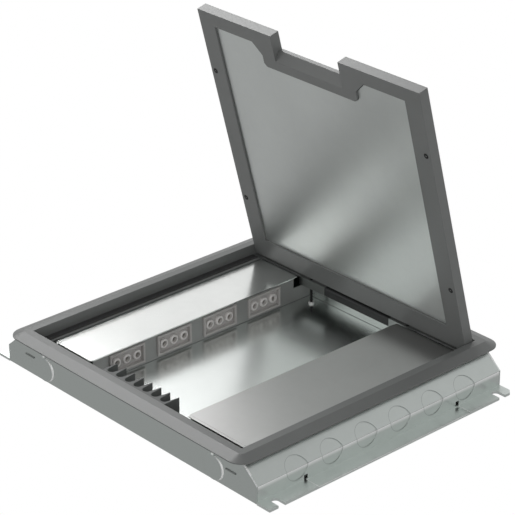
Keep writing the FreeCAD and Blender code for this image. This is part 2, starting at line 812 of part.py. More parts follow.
def make_cover_rail(label, side):
    """Channel that stands on the floor and carries a cover's outer edge."""
    body = new_body(label)
    outer = ledge_inner_x - s.cover_gap - s.rail_inset
    floor, top, sheet_gap = s.sheet_steel, cover_underside, s.plate_sheet
    inner = outer - s.shelf_flange
    sketch = new_sketch(body, f"{label}_section", "XZ_Plane", -cover_end)
    add_path(sketch, [
        (outer * side, floor), (outer * side, top), (inner * side, top),
        (inner * side, top - sheet_gap), ((outer - sheet_gap) * side, top - sheet_gap),
        ((outer - sheet_gap) * side, floor + sheet_gap), (inner * side, floor + sheet_gap),
        (inner * side, floor)])
    pad(body, sketch, cover_end * 2)
    return keep(body)


def make_socket_units(label, places):
    """Three-pole socket units: bezel, recessed face and three bores for the pins."""
    body = new_body(f"{label}_source")
    half_x, half_y = s.socket_width / 2, s.socket_height / 2
    bezel = new_sketch(body, f"{label}_bezel", "XY_Plane")
    add_rectangle(bezel, -half_x, half_x, -half_y, half_y)
    pad(body, bezel, s.bezel_depth)
    inset = s.socket_body_inset
    housing = new_sketch(body, f"{label}_housing", "XY_Plane")
    add_rectangle(housing, inset - half_x, half_x - inset, inset - half_y, half_y - inset)
    pad(body, housing, s.socket_body_depth, reverse=True)
    border = s.bezel_border
    recess = new_sketch(body, f"{label}_recess", "XY_Plane", s.bezel_depth)
    add_rectangle(recess, border - half_x, half_x - border, border - half_y, half_y - border)
    pocket(body, recess, s.recess_depth)
    holes = new_sketch(body, f"{label}_holes", "XY_Plane", s.bezel_depth)
    for pole in (-1, 0, 1):
        add_circle(holes, s.pole_pitch * pole, ZERO, s.pole_bore)
    pocket(body, holes, s.pole_depth)
    group(label, body, places)


def make_busbars(label, inner, side):
    """Brass strips that join the poles along the back of a row of units."""
    source = new_body(f"{label}_source")
    length = s.socket_pitch * (s.socket_count - 1) + s.socket_width
    back = inner + s.socket_body_depth
    strip = new_sketch(source, f"{label}_strip", "YZ_Plane", back * side)
    add_rectangle(strip, -length / 2, length / 2, -s.busbar_width / 2, s.busbar_width / 2)
    pad(source, strip, s.busbar_sheet, reverse=side < 0)
    places = [at(0, 0, s.socket_centre + s.busbar_pitch * row) for row in (-1, 0, 1)]
    group(label, source, places)


def socket_places(inner, side):
    """Return the placements of one socket plate's units, facing the well."""
    first = -s.socket_pitch * (s.socket_count - 1) / 2
    face = Rotation(Vector(1, 1, 1), 120)
    if side > 0:
        face = Rotation(Vector(0, 0, 1), 180).multiply(face)
    return [at(inner * side, first + s.socket_pitch * index, s.socket_centre, face)
            for index in range(int(s.socket_count.value))]


# ---- levelling ------------------------------------------------------------------------

def leveller_spots(z):
    """Return the four levelling screws' places at height z."""
    return [at(leveller_x * side, leveller_y * end, z) for side in (-1, 1) for end in (-1, 1)]


def make_levellers():
    """Levelling screws with feet, and the brackets and nuts that ride on them."""
    floor, foot_height = s.sheet_steel, s.leveller_foot_height
    rod = new_body("leveller_source")
    circle = new_sketch(rod, "leveller_circle", "XY_Plane")
    add_circle(circle, ZERO, ZERO, s.leveller_radius)
    pad(rod, circle, ledge_top - s.plate_clearance - floor - foot_height)
    group("levelling_screws", rod, leveller_spots(floor + foot_height))
    foot = new_body("leveller_foot_source")
    circle = new_sketch(foot, "leveller_foot_circle", "XY_Plane")
    add_circle(circle, ZERO, ZERO, s.leveller_foot_radius)
    pad(foot, circle, foot_height)
    group("levelling_feet", foot, leveller_spots(floor))

    bracket = new_body("bracket_source")
    section = new_sketch(bracket, "bracket_section", "YZ_Plane")
    sheet_gap = s.bracket_sheet
    face = ledge_inner_y - leveller_y
    reach = s.leveller_inset - 2
    add_path(section, [
        (face - sheet_gap, ZERO), (reach, ZERO), (reach, s.bracket_drop),
        (reach - sheet_gap, s.bracket_drop), (reach - sheet_gap, sheet_gap),
        (face, sheet_gap), (face, s.bracket_drop + s.ledge_sheet),
        (face - sheet_gap, s.bracket_drop + s.ledge_sheet)])
    pad(bracket, section, s.bracket_width, symmetric=True)
    middle = comb_width / 2 + s.lid_clearance + s.bracket_width / 2
    nut = new_sketch(bracket, "bracket_nut", "XY_Plane", sheet_gap)
    add_hexagon(nut, leveller_x - middle, s.nut_across)
    pad(bracket, nut, s.nut_height)
    hole = new_sketch(bracket, "bracket_hole", "XY_Plane")
    add_circle(hole, leveller_x - middle, ZERO, s.leveller_radius + s.leveller_running_gap)
    pocket(bracket, hole, sheet_gap + s.nut_height, reverse=True)
    places = [at(middle * side, leveller_y * end, bracket_bottom,
                 Rotation(Vector(0, 0, 1), 90 - 90 * end))
              for side in (-1, 1) for end in (-1, 1)]
    group("levelling_brackets", bracket, places, mirrored=(False, True, True, False))


def add_hexagon(sketch, middle, across):
    """Draw a hexagon from its middle and its width across flats."""
    corner, half = across / math.sqrt(3), across / 2
    add_path(sketch, [
        (middle + corner, ZERO), (middle + corner / 2, half), (middle - corner / 2, half),
        (middle - corner, ZERO), (middle - corner / 2, -half), (middle + corner / 2, -half)])


# ---- build ----------------------------------------------------------------------------

def build():
    """Make every sub-part."""
    make_base_pan()
    make_side_panel("side_panel_left", -1)
    make_side_panel("side_panel_right", 1)
    make_trim_frame()
    make_gasket()
    make_cable_comb()
    make_lid_frame()
    make_lid_plate()
    make_lid_tray()
    make_hinge_pins()
    for label, inner, side in (("left", s.well_left, -1), ("right", s.well_right, 1)):
        make_cover_plate(f"cover_plate_{label}", inner, side)
        make_socket_plate(f"socket_plate_{label}", inner, side)
        make_cover_rail(f"cover_rail_{label}", side)
        make_socket_units(f"socket_units_{label}", socket_places(inner, side))
        make_busbars(f"busbars_{label}", inner, side)
    make_levellers()
    doc.recompute()


def check_document():
    """Stop if any object failed or any sub-part is not a sound solid."""
    for thing in doc.Objects:
        if "Invalid" in thing.State or "Error" in thing.State:
            raise RuntimeError(f"{thing.Name} failed: {thing.State}")
    for part in parts:
        if part.Shape.isNull() or not part.Shape.isValid() or not part.Shape.Solids:
            raise RuntimeError(f"{part.Label} has no sound solid")


build()
check_document()
for part in parts:
    part.Shape.exportStep(f"parts/{part.Label}.step")
print(len(parts), "sub-parts written")
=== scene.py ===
"""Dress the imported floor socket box: finishes, small fittings, camera and studio."""
import logging
import math
from dataclasses import dataclass
from enum import Enum

import bmesh
import bpy
from mathutils import Matrix, Vector


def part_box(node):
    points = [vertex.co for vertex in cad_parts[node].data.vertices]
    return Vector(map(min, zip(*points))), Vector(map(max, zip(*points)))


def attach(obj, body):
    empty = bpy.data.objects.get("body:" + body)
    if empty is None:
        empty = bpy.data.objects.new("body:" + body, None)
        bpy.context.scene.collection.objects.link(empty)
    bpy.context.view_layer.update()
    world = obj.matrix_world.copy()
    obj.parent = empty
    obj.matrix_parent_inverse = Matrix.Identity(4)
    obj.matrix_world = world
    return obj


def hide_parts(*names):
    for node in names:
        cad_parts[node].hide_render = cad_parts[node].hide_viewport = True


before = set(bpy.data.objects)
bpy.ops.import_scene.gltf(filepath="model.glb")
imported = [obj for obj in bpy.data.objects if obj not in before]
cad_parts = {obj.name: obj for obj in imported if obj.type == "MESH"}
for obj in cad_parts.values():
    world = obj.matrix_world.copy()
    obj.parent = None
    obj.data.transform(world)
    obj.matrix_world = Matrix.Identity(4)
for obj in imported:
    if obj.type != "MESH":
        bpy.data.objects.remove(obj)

MM = 0.001
LID_ANGLE = math.radians(75)  # how far the lid stands open at rest
FOLD_HEIGHT = 18.6 * MM  # where the side panels turn from upright to sloping
SLOPE_RUN = 21.0 * MM  # how far they lean in from there to their rim
SHARP_ANGLE = math.radians(35)  # edges sharper than this aren't shaded smooth
NOISE_LOW, NOISE_HIGH = 0.3, 0.7  # nearly all of a noise texture lies between these
NOISE_RANGE = {"From Min": NOISE_LOW, "From Max": NOISE_HIGH}

Materials = dict[str, bpy.types.Material]
log = logging.getLogger("scene")


class Side(Enum):
    """The two long sides of the box, by the sign of X."""

    LEFT = -1
    RIGHT = 1


class End(Enum):
    """The comb end and the hinge end of the box, by the sign of Y."""

    COMB = -1
    HINGE = 1


# ---- shading helpers -------------------------------------------------------------------

def srgb(code: str) -> tuple[float, float, float, float]:
    """Turn an sRGB hex code into a linear colour.

    Args:
        code: Six hex digits.

    Returns:
        Linear red, green, blue and an alpha of 1.
    """
    channels = [int(code[i:i + 2], 16) / 255 for i in (0, 2, 4)]
    linear = [c / 12.92 if c <= 0.04045 else ((c + 0.055) / 1.055) ** 2.4 for c in channels]
    return (*linear, 1.0)


def tint(code: str, factor: float) -> tuple[float, float, float, float]:
    """Return a hex colour made lighter or darker by a factor."""
    return tuple(min(c * factor, 1.0) for c in srgb(code)[:3]) + (1.0,)


def grey(level: float) -> tuple[float, float, float, float]:
    """Return a neutral colour of a linear level."""
    return (level, level, level, 1.0)


class Nodes:
    """A node tree with one short way to add and link nodes."""

    def __init__(self, owner: bpy.types.ID) -> None:
        """Empty a material's or world's node tree.

        Args:
            owner: The material or world.
        """
        owner.use_nodes = True
        self.owner = owner
        self.tree = owner.node_tree
        self.tree.nodes.clear()

    def add(self, kind: str, values: dict | None = None, stops: tuple = (),
            **settings) -> bpy.types.Node:
        """Add a node.

        Args:
            kind: Node type without the ShaderNode prefix.
            values: Input values or sockets to link, by input name or index.
            stops: The two positions and colours of a colour ramp.
            **settings: Node properties.

        Returns:
            The new node.
        """
        node = self.tree.nodes.new(f"ShaderNode{kind}")
        for key, value in settings.items():
            setattr(node, key, value)
        for key, value in (values or {}).items():
            if isinstance(value, bpy.types.NodeSocket):
                self.tree.links.new(value, node.inputs[key])
            else:
                node.inputs[key].default_value = value
        for index, (position, colour) in enumerate(stops):
            node.color_ramp.elements[index].position = position
            node.color_ramp.elements[index].color = colour
        return node

    def coordinates(self, feature: float, stretch: tuple = (1, 1, 1),
                    turn: float = 0.0) -> bpy.types.NodeSocket:
        """Give texture coordinates whose unit is a real length.

        Args:
            feature: Length of one unit, in metres.
            stretch: Extra scale along X, Y and Z.
            turn: Rotation about X in radians, for a tilted piece.

        Returns:
            The mapped coordinate socket.
        """
        where = self.add("TexCoord").outputs["Object"]
        turned = self.add("Mapping", {"Vector": where, "Rotation": (turn, 0, 0)}).outputs[0]
        scale = tuple(s / feature for s in stretch)
        return self.add("Mapping", {"Vector": turned, "Scale": scale}).outputs[0]

    def relief(self, height: bpy.types.NodeSocket, strength: float, depth: float,
               edge: float) -> bpy.types.NodeSocket:
        """Give a normal with fine relief and softly broken edges.

        Args:
            height: The relief's height, from 0 to 1.
            strength: Share of the relief that shows.
            depth: Height of the relief in metres.
            edge: Radius of the broken edges in metres.

        Returns:
            The normal socket.
        """
        rounded = self.add("Bevel", {"Radius": edge}, samples=4).outputs[0]
        return self.add("Bump", {"Height": height, "Strength": strength, "Distance": depth,
                                 "Normal": rounded}).outputs[0]

    def finish(self, shader: bpy.types.Node) -> bpy.types.Material:
        """Connect the shader to the output, and return the material."""
        self.add("OutputMaterial", {"Surface": shader.outputs[0]})
        return self.owner


# ---- finishes --------------------------------------------------------------------------

@dataclass(frozen=True)
class ZincSheet:
    """Zinc-coated sheet steel, cold rolled: a dull mirror with a faint spangle.

    Attributes:
        name: Material name.
        colour: Hex colour of the coating.
        roughness: Middle of the roughness's range.
        spangle: Size of a zinc crystal.
        contrast: How far the crystals differ in tone.
        cloud: Size of the coating's broad clouds.
        clouding: Level of a cloud's darkest part.
        line: Length scale of the faint lines that the rolls leave.
        stretch: The lines' scale along X, Y and Z.
        turn: Angle about X of a tilted piece.
        metallic: Share of the surface that reflects as bare metal.
        grain: Strength of the relief.
        depth: Height of the relief.
        edge: Radius of the broken edges.
        upright: Hex colour of upright faces, painted darker than the floor's, if set.
        highlight_band: Heights between which a painted highlight brightens the colour, if there is one.
        highlight_band_metallic: What the metallic share falls to in that band.
    """

    name: str
    colour: str
    roughness: float
    spangle: float = 7 * MM
    contrast: float = 0.01
    cloud: float = 70 * MM
    clouding: float = 0.95
    line: float = 18 * MM
    stretch: tuple = (1, 8, 1)
    turn: float = 0.0
    metallic: float = 1.0
    grain: float = 0.004
    depth: float = 0.02 * MM
    edge: float = 0.35 * MM
    upright: str = ""
    highlight_band: tuple | None = None
    highlight_band_metallic: float = 0.45

    def build(self) -> bpy.types.Material:
        """Return the material."""
        n = Nodes(bpy.data.materials.new(self.name))
        cells = n.add("TexVoronoi", {"Vector": n.coordinates(self.spangle), "Scale": 1.0})
        tone = n.add("SeparateColor", {"Color": cells.outputs["Color"]}).outputs[0]
        # the coating clouds over a hand's width, and the rolls leave long faint lines
        cloud = n.add("TexNoise", {"Vector": n.coordinates(self.cloud, turn=self.turn),
                                   "Scale": 1.0, "Detail": 2.0}).outputs["Fac"]
        lines = n.add("TexNoise", {"Vector": n.coordinates(self.line, self.stretch, self.turn),
                                   "Scale": 1.0, "Detail": 4.0}).outputs["Fac"]
        mottled = n.add("ValToRGB", {"Fac": tone}, stops=(
            (0.0, tint(self.colour, 1 - self.contrast)),
            (1.0, tint(self.colour, 1 + self.contrast))))
        cloudy = n.add("ValToRGB", {"Fac": cloud}, stops=(
            (NOISE_LOW, grey(self.clouding)), (NOISE_HIGH, grey(1.0))))
        colour = n.add("Mix", {0: 1.0, 6: mottled.outputs["Color"],
                               7: cloudy.outputs["Color"]}, data_type="RGBA",
                       blend_type="MULTIPLY").outputs[2]
        metallic = self.metallic
        if self.upright:
            # painted light and shade: faces that look up keep the brighter colour, upright walls of the
            # same sheet get a darker one
            colour = n.add("Mix", {0: self.level_share(n), 6: srgb(self.upright), 7: colour},
                           data_type="RGBA").outputs[2]
        if self.highlight_band:
            # painted highlight: a band under the bend turns whiter and less metallic, in place of the
            # bright reflection along the fold
            share = self.highlight_band_share(n)
            colour = n.add("Mix", {0: share, 6: colour, 7: grey(1.0)},
                           data_type="RGBA").outputs[2]
            metallic = n.add("MapRange", {"Value": share, "To Min": self.metallic,
                                          "To Max": self.highlight_band_metallic}).outputs[0]
        rough = n.add("MapRange", {"Value": lines, **NOISE_RANGE,
                                   "To Min": self.roughness - 0.015,
                                   "To Max": self.roughness + 0.02}).outputs[0]
        normal = n.relief(cloud, self.grain, self.depth, self.edge)
        return n.finish(n.add("BsdfPrincipled", {
            "Base Color": colour, "Roughness": rough, "Metallic": metallic,
            "Normal": normal}))

    def level_share(self, n: Nodes) -> bpy.types.NodeSocket:
        """Return 1 on faces that look up and 0 on upright ones."""
        normal = n.add("SeparateXYZ", {0: n.add("TexCoord").outputs["Normal"]})
        return n.add("Math", {0: normal.outputs["Z"], 1: 0.7},
                     operation="GREATER_THAN").outputs[0]

    def highlight_band_share(self, n: Nodes) -> bpy.types.NodeSocket:
        """Return how much of the painted highlight shows at a height."""
        low, high = self.highlight_band
        place = n.add("SeparateXYZ", {0: n.add("NewGeometry").outputs["Position"]})
        height = place.outputs["Z"]
        band = n.add("MapRange", {"Value": height, "From Min": low, "From Max": high},
                     interpolation_type="SMOOTHSTEP")
        below = n.add("Math", {0: height, 1: high + 0.05 * MM}, operation="LESS_THAN")
        return n.add("Math", {0: band.outputs[0], 1: below.outputs[0]},
                     operation="MULTIPLY").outputs[0]


@dataclass(frozen=True)
class MouldedPolymer:
    """Injection-moulded polymer with a fine spark-eroded grain: a soft even sheen."""

    # the real grain is about a fifth of a millimetre, drawn coarser so that it shows

    name: str
    colour: str
    roughness: float = 0.36
    grain: float = 0.7 * MM
    depth: float = 0.03 * MM
    strength: float = 0.22
    wash: float = 40 * MM
    washed: float = 0.94
    ior: float = 1.5
    edge: float = 0.5 * MM

    def build(self) -> bpy.types.Material:
        """Return the material."""
        n = Nodes(bpy.data.materials.new(self.name))
        grain = n.add("TexNoise", {"Vector": n.coordinates(self.grain), "Scale": 1.0,
                                   "Detail": 2.0}).outputs["Fac"]
        wash = n.add("TexNoise", {"Vector": n.coordinates(self.wash), "Scale": 1.0,
                                  "Detail": 3.0}).outputs["Fac"]
        colour = n.add("ValToRGB", {"Fac": wash}, stops=(
            (NOISE_LOW, tint(self.colour, self.washed)), (NOISE_HIGH, srgb(self.colour))))
        rough = n.add("MapRange", {"Value": grain, **NOISE_RANGE,
                                   "To Min": self.roughness - 0.04,
                                   "To Max": self.roughness + 0.06})
        normal = n.relief(grain, self.strength, self.depth, self.edge)
        return n.finish(n.add("BsdfPrincipled", {
            "Base Color": colour.outputs["Color"], "Roughness": rough.outputs[0],
            "IOR": self.ior, "Normal": normal}))


@dataclass(frozen=True)
class FoamStrip:
    """Closed-cell foam rubber, die cut: matt, with open pores."""

    # the real pores are about a third of a millimetre, drawn coarser so that they show

    name: str = "foam_strip"
    colour: str = "3c3c3c"
    roughness: float = 0.8
    pore: float = 0.8 * MM
    strength: float = 0.4
    depth: float = 0.1 * MM
    edge: float = 0.2 * MM

    def build(self) -> bpy.types.Material:
        """Return the material."""
        n = Nodes(bpy.data.materials.new(self.name))
        pores = n.add("TexVoronoi", {"Vector": n.coordinates(self.pore), "Scale": 1.0})
        wall = pores.outputs["Distance"]
        # painted shade: the pores are darker than the cell walls between them
        colour = n.add("ValToRGB", {"Fac": wall}, stops=(
            (0.05, tint(self.colour, 0.5)), (0.4, srgb(self.colour))))
        normal = n.relief(wall, self.strength, self.depth, self.edge)
        return n.finish(n.add("BsdfPrincipled", {
            "Base Color": colour.outputs["Color"], "Roughness": self.roughness,
            "Normal": normal}))


@dataclass(frozen=True)
class TurnedMetal:
    """Small turned or plated metal part: fine tool marks round its axis."""

    # the real marks are a tenth of a millimetre apart, drawn coarser so that they show

    name: str
    colour: str
    roughness: float = 0.3
    mark: float = 0.5 * MM

    def build(self) -> bpy.types.Material:
        """Return the material."""
        n = Nodes(bpy.data.materials.new(self.name))
        marks = n.add("TexNoise", {"Vector": n.coordinates(self.mark, (1, 1, 6)),
                                   "Scale": 1.0}).outputs["Fac"]
        colour = n.add("ValToRGB", {"Fac": marks}, stops=(
            (NOISE_LOW, tint(self.colour, 0.85)), (NOISE_HIGH, srgb(self.colour))))
        rough = n.add("MapRange", {"Value": marks, **NOISE_RANGE,
                                   "To Min": self.roughness - 0.06,
                                   "To Max": self.roughness + 0.1})
        return n.finish(n.add("BsdfPrincipled", {
            "Base Color": colour.outputs["Color"], "Roughness": rough.outputs[0],
            "Metallic": 1.0}))


class Finishes:
    """Every finish of the box, and the CAD nodes that wear each."""

    def build(self) -> Materials:
        """Make the materials.

        Returns:
            The materials by name.
        """
        kinds = [
            ZincSheet("pan_steel", "f2f6f4", 0.24, contrast=0.006, upright="c2c8c5"),
            ZincSheet("panel_steel", "d6dcd9", 0.32, stretch=(8, 1, 8),
                      highlight_band=(13.0 * MM, 18.4 * MM)),
            ZincSheet("plate_steel", "a2a3a2", 0.45, metallic=0.5),
            ZincSheet("cover_steel", "f6f8f6", 0.17),
            # the right cover's copy of the cover steel: rougher, and darker in colour as painted shade
            ZincSheet("shaded_cover_steel", "bcbcbb", 0.31),
            ZincSheet("lid_steel", "e0e4e2", 0.4, contrast=0.006, stretch=(8, 1, 1),
                      turn=LID_ANGLE),
            # darker than the panel steel: painted shade of the side panels' ring grooves and fold
            ZincSheet("groove_shade_line", "b9bebc", 0.36),
            ZincSheet("bracket_steel", "9a9e9c", 0.4),
            ZincSheet("seam_line", "5c605e", 0.5),
            # near white and little metallic: painted highlights on edges, knockouts and pry tabs
            ZincSheet("painted_highlight", "fbfcfb", 0.3, metallic=0.25),
            MouldedPolymer("frame_polymer", "6e706f", 0.32),
            MouldedPolymer("comb_polymer", "4e5150", 0.45),
            MouldedPolymer("hinge_shade_polymer", "2e3030", 0.5),
            MouldedPolymer("socket_polymer", "bcb9b7", 0.33),
            MouldedPolymer("collar_polymer", "e4e1df", 0.33),
            # near black: painted shade round the lid screws
            MouldedPolymer("recess_shade_polymer", "232323", 0.6),
            MouldedPolymer("foot_polymer", "e8e8e6", 0.4),
            FoamStrip(),
            TurnedMetal("zinc_plate", "c4c4bf"),
            TurnedMetal("blackened_steel", "303030", 0.4),
            TurnedMetal("turned_brass", "c9a45c"),
        ]
        return {kind.name: kind.build() for kind in kinds}

    def dress(self, materials: Materials) -> None:
        """Give each CAD node its material.

        Args:
            materials: The materials by name.
        """
        wears = {
            "pan_steel": ["base_pan", "cover_rail_left", "cover_rail_right"],
            "panel_steel": ["side_panel_left", "side_panel_right", "lid_tray"],
            "bracket_steel": ["levelling_brackets"],
            "plate_steel": ["socket_plate_left", "socket_plate_right"],
            "cover_steel": ["cover_plate_left"],
            "shaded_cover_steel": ["cover_plate_right"],
            "lid_steel": ["lid_plate"],
            "frame_polymer": ["trim_frame", "lid_frame"],
            "comb_polymer": ["cable_comb"],
            "socket_polymer": ["socket_units_left", "socket_units_right"],
            "foot_polymer": ["levelling_feet"],
            "foam_strip": ["lid_gasket"],
            "zinc_plate": ["hinge_pins"],
            "blackened_steel": ["levelling_screws"],
            "turned_brass": ["busbars_left", "busbars_right"],
        }
        for finish, names in wears.items():
            for name in names:
                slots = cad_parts[name].data.materials
                slots.clear()
                slots.append(materials[finish])


# ---- mesh helpers ----------------------------------------------------------------------

def turned_ring(mesh: bmesh.types.BMesh, profile: list[tuple[float, float]], place: Matrix,
                steps: int = 32, closed: bool = True) -> None:
    """Add a shape turned from a profile about the local Z axis.

    Args:
        mesh: The mesh to add to.
        profile: Radius and height pairs, in metres. A radius of 0 ends on the axis.
        place: Where the turned shape stands.
        steps: Divisions round the axis.
        closed: Join the profile's last point to its first.
    """
    rows = []
    for radius, height in profile:
        if radius == 0:
            rows.append([mesh.verts.new(place @ Vector((0, 0, height)))] * steps)
            continue
        angles = [2 * math.pi * k / steps for k in range(steps)]
        rows.append([mesh.verts.new(place @ Vector((radius * math.cos(a), radius * math.sin(a),
                                                    height))) for a in angles])
    pairs = list(zip(rows, rows[1:] + rows[:1])) if closed else list(zip(rows, rows[1:]))
    for low, high in pairs:
        for k in range(steps):
            corners = [low[k], low[(k + 1) % steps], high[(k + 1) % steps], high[k]]
            unique = list(dict.fromkeys(corners))
            if len(unique) > 2:
                mesh.faces.new(unique)


def lip(inner: float, outer: float, low: float, high: float, steps: int = 4,
        share: float = 0.6) -> list[tuple[float, float]]:
    """Give the profile of a ring whose outer top edge is rounded.

    Args:
        inner: Inner radius in metres.
        outer: Outer radius in metres.
        low: Height of the underside in metres.
        high: Height of the top in metres.
        steps: Divisions of the rounding.
        share: The rounding's share of the ring's smaller size.

    Returns:
        Radius and height pairs.
    """
    radius = min(outer - inner, high - low) * share
    arc = [(outer - radius + radius * math.cos(a), high - radius + radius * math.sin(a))
           for a in (math.pi / 2 * k / steps for k in range(steps + 1))]
    return [(inner, low), (outer, low), *arc, (inner, high)]


def skin(mesh: bmesh.types.BMesh, rows: list[list[bmesh.types.BMVert]]) -> None:
    """Join neighbouring rows of points by faces.

    Args:
        mesh: The mesh to add to.
        rows: Rows of equally many points.
    """
    for before, after in zip(rows, rows[1:]):
        for k in range(len(before) - 1):
            mesh.faces.new([before[k], before[k + 1], after[k + 1], after[k]])


def raised_strip(mesh: bmesh.types.BMesh, ends: list[Vector], across: Vector, out: Vector,
                 crown: tuple[tuple[float, float], ...]) -> None:
    """Add a thin strip that stands a little proud of a face.

    Args:
        mesh: The mesh to add to.
        ends: The strip's two ends.
        across: Its width as a vector.
        out: Its height as a vector.
        crown: Its section, as shares of the width and of the height.
    """
    skin(mesh, [[mesh.verts.new(point + across * share + out * rise)
                 for share, rise in crown] for point in ends])


def solid(name: str, mesh: bmesh.types.BMesh, material: bpy.types.Material, body: str) -> bpy.types.Object:
    """Turn a mesh into a piece that rides on a body.

    Args:
        name: The piece's name.
        mesh: Its mesh, which is freed.
        material: Its finish.
        body: The CAD body that carries it.

    Returns:
        The new object.
    """
    bmesh.ops.recalc_face_normals(mesh, faces=mesh.faces)
    data = bpy.data.meshes.new(name)
    mesh.to_mesh(data)
    mesh.free()
    data.materials.append(material)
    data.polygons.foreach_set("use_smooth", [True] * len(data.polygons))
    data.set_sharp_from_angle(angle=SHARP_ANGLE)
    piece = bpy.data.objects.new(name, data)
    bpy.context.collection.objects.link(piece)
    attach(piece, body)
    log.info("%s rides on %s", name, body)
    return piece


def facing(origin: Vector, normal: Vector) -> Matrix:
    """Return a placement at origin whose Z axis is normal."""
    turn = normal.to_track_quat("Z", "Y").to_matrix().to_4x4()
    return Matrix.Translation(origin) @ turn


# ---- small fittings --------------------------------------------------------------------

@dataclass
class SocketFittings:
    """Collars round the socket units' bores, and the contacts inside them."""

    count: int = 4
    pitch: float = 60.6 * MM
    pole_pitch: float = 13.0 * MM
    height: float = 15.6 * MM
    recess: float = 3.6 * MM
    collar_outer: float = 5.1 * MM
    collar_inner: float = 3.0 * MM
    collar_drop: float = 0.7 * MM
    contact_outer: float = 2.35 * MM
    contact_inner: float = 1.75 * MM
    contact_depth: float = 2.0 * MM
    contact_length: float = 6.0 * MM

    def places(self, side: Side) -> list[Matrix]:
        """Give each bore's place on the front face of a row.

        Args:
            side: The row.

        Returns:
            Placements whose Z axis points into the well.
        """
        low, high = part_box(f"socket_units_{side.name.lower()}")
        face = high[0] if side is Side.LEFT else low[0]
        normal = Vector((-side.value, 0, 0))
        first = -self.pitch * (self.count - 1) / 2
        return [facing(Vector((face, first + self.pitch * unit + self.pole_pitch * pole,
                               self.height)), normal)
                for unit in range(self.count) for pole in (-1, 0, 1)]

    def build(self, materials: Materials) -> None:
        """Make the collars and contacts of both rows.

        Args:
            materials: The materials by name.
        """
        collar = lip(self.collar_inner, self.collar_outer, -self.recess, -self.collar_drop)
        mouth = -self.recess - self.contact_depth
        tube = lip(self.contact_inner, self.contact_outer, mouth - self.contact_length, mouth)
        for side in Side:
            row = side.name.lower()
            collars, contacts = bmesh.new(), bmesh.new()
            for place in self.places(side):
                turned_ring(collars, collar, place)
                turned_ring(contacts, tube, place, steps=20)
            solid(f"socket_collars_{row}", collars, materials["collar_polymer"], "base")
            solid(f"socket_contacts_{row}", contacts, materials["turned_brass"], "base")


@dataclass
class LevellingThreads:
    """Rolled threads of the levelling screws."""

    radius: float = 1.5 * MM
    root: float = 1.2 * MM
    pitch: float = 1.0 * MM
    steps: int = 14
    rows_per_turn: int = 4

    def build(self, materials: Materials) -> None:
        """Replace the four plain screws by threaded ones.

        Args:
            materials: The materials by name.
        """
        low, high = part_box("levelling_screws")
        threads = bmesh.new()
        for x in (low[0] + self.radius, high[0] - self.radius):
            for y in (low[1] + self.radius, high[1] - self.radius):
                self.add_thread(threads, Vector((x, y, low[2])), high[2] - low[2])
        piece = solid("levelling_threads", threads, materials["blackened_steel"], "base")
        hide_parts("levelling_screws")

    def add_thread(self, mesh: bmesh.types.BMesh, foot: Vector, height: float) -> None:
        """Add one threaded rod whose crest climbs in a helix.

        Args:
            mesh: The mesh to add to.
            foot: Middle of the rod's lower end.
            height: Length of the rod in metres.
        """
        rows = int(height / self.pitch * self.rows_per_turn)
        rings = []
        for row in range(rows + 1):
            z = height * row / rows
            ring = []
            for k in range(self.steps):
                turn = 2 * math.pi * k / self.steps
                phase = (z / self.pitch + k / self.steps) % 1.0
                crest = 1 - abs(2 * phase - 1)
                radius = self.root + (self.radius - self.root) * crest
                ring.append(mesh.verts.new(foot + Vector((radius * math.cos(turn),
                                                          radius * math.sin(turn), z))))
            rings.append(ring)
        for below, above in zip(rings, rings[1:]):
            for k in range(self.steps):
                after = (k + 1) % self.steps
                mesh.faces.new([below[k], below[after], above[after], above[k]])
        mesh.faces.new(list(reversed(rings[0])))
        mesh.faces.new(rings[-1])


@dataclass
class LidScrews:
    """Four countersunk screws in the lid's border, each ringed with painted recess shade.

    Their places are measured from the hinge line, with the lid shut. The shade rings and heads
    reach the length sunk into the border, and the rises are heights above its underside.
    """

    hinge_y: float = 146.3 * MM
    hinge_z: float = 37.25 * MM
    underside: float = -6.25 * MM
    across: float = 145.3 * MM
    rear: float = -70.5 * MM
    pitch: float = 156.4 * MM
    sunk: float = 0.3 * MM
    shade_radius: float = 2.9 * MM
    shade_rise: float = 0.08 * MM
    head: float = 2.3 * MM
    head_rise: float = 0.12 * MM
    crown_rise: float = 0.2 * MM
    drive: float = 0.9 * MM
    drive_depth: float = 0.2 * MM

    def build(self, materials: Materials) -> None:
        """Make the shade rings and heads.

        Args:
            materials: The materials by name.
        """
        hinge = Matrix.Translation((0, self.hinge_y, self.hinge_z))
        opened = hinge @ Matrix.Rotation(-LID_ANGLE, 4, "X")
        downward = Matrix.Rotation(math.pi, 4, "X")
        rim = [(self.head, -self.sunk), (self.shade_radius, -self.sunk),
               (self.shade_radius, self.shade_rise), (self.head, self.shade_rise / 4)]
        dish = [(0, -self.sunk), (self.head, -self.sunk), (self.head, self.head_rise),
                (self.head * 0.4, self.crown_rise), (self.drive, -self.drive_depth / 2),
                (0, -self.drive_depth)]
        shade_rings, heads = bmesh.new(), bmesh.new()
        for x in (-self.across, self.across):
            for y in (self.rear, self.rear - self.pitch):
                place = opened @ Matrix.Translation((x, y, self.underside)) @ downward
                turned_ring(shade_rings, rim, place)
                turned_ring(heads, dish, place, steps=24, closed=False)
        solid("lid_screw_shade_rings", shade_rings, materials["recess_shade_polymer"], "lid")
        solid("lid_screw_heads", heads, materials["blackened_steel"], "lid")


